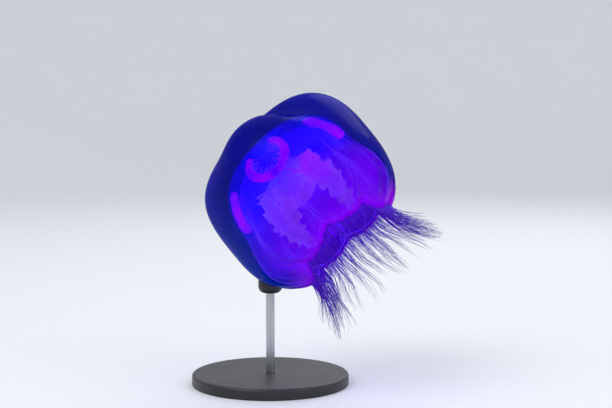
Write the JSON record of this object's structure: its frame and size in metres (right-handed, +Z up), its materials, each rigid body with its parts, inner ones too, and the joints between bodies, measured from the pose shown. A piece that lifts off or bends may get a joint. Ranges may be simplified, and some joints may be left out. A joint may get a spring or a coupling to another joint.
{
  "type": "moon jellyfish museum model",
  "caption": "Life-size still model of a moon jelly at the end of a swimming stroke, its bell drawn in and its tentacles trailing, held on a plain round display stand.",
  "frame": {"origin": "centre of the display stand's base, on its underside", "axes": "+Z up; the bell's crown leans 49 degrees from the vertical, mostly towards -X and a little towards +Y, and the mouth faces down towards +X"},
  "size_m": [0.227, 0.1838, 0.2663],
  "materials": {
    "bell_jelly": "wet translucent jelly, glossy",
    "stomach_floor": "soft translucent tissue",
    "gonad": "puckered opaque tissue",
    "oral_arm": "frilled translucent tissue",
    "sense_organ": "wet tissue",
    "stand_black": "satin black paint on steel",
    "stand_metal": "brushed"
  },
  "bodies": {
    "root": {"bell": "bell_jelly", "stomach": "stomach_floor", "mouth": "oral_arm", "gonad_1": "gonad", "gonad_2": "gonad", "gonad_3": "gonad", "gonad_4": "gonad", "margin_lappet_1": "bell_jelly", "margin_lappet_2": "bell_jelly", "margin_lappet_3": "bell_jelly", "margin_lappet_4": "bell_jelly", "margin_lappet_5": "bell_jelly", "margin_lappet_6": "bell_jelly", "margin_lappet_7": "bell_jelly", "margin_lappet_8": "bell_jelly", "sense_organ_1": "sense_organ", "sense_organ_2": "sense_organ", "sense_organ_3": "sense_organ", "sense_organ_4": "sense_organ", "sense_organ_5": "sense_organ", "sense_organ_6": "sense_organ", "sense_organ_7": "sense_organ", "sense_organ_8": "sense_organ", "oral_arm_1_upper": "oral_arm", "oral_arm_1_lower": "oral_arm", "oral_arm_2_upper": "oral_arm", "oral_arm_2_lower": "oral_arm", "oral_arm_3_upper": "oral_arm", "oral_arm_3_lower": "oral_arm", "oral_arm_4_upper": "oral_arm", "oral_arm_4_lower": "oral_arm", "stand_base": "stand_black", "stand_rod": "stand_metal", "stand_cup": "stand_black"}
  },
  "joints": []
}
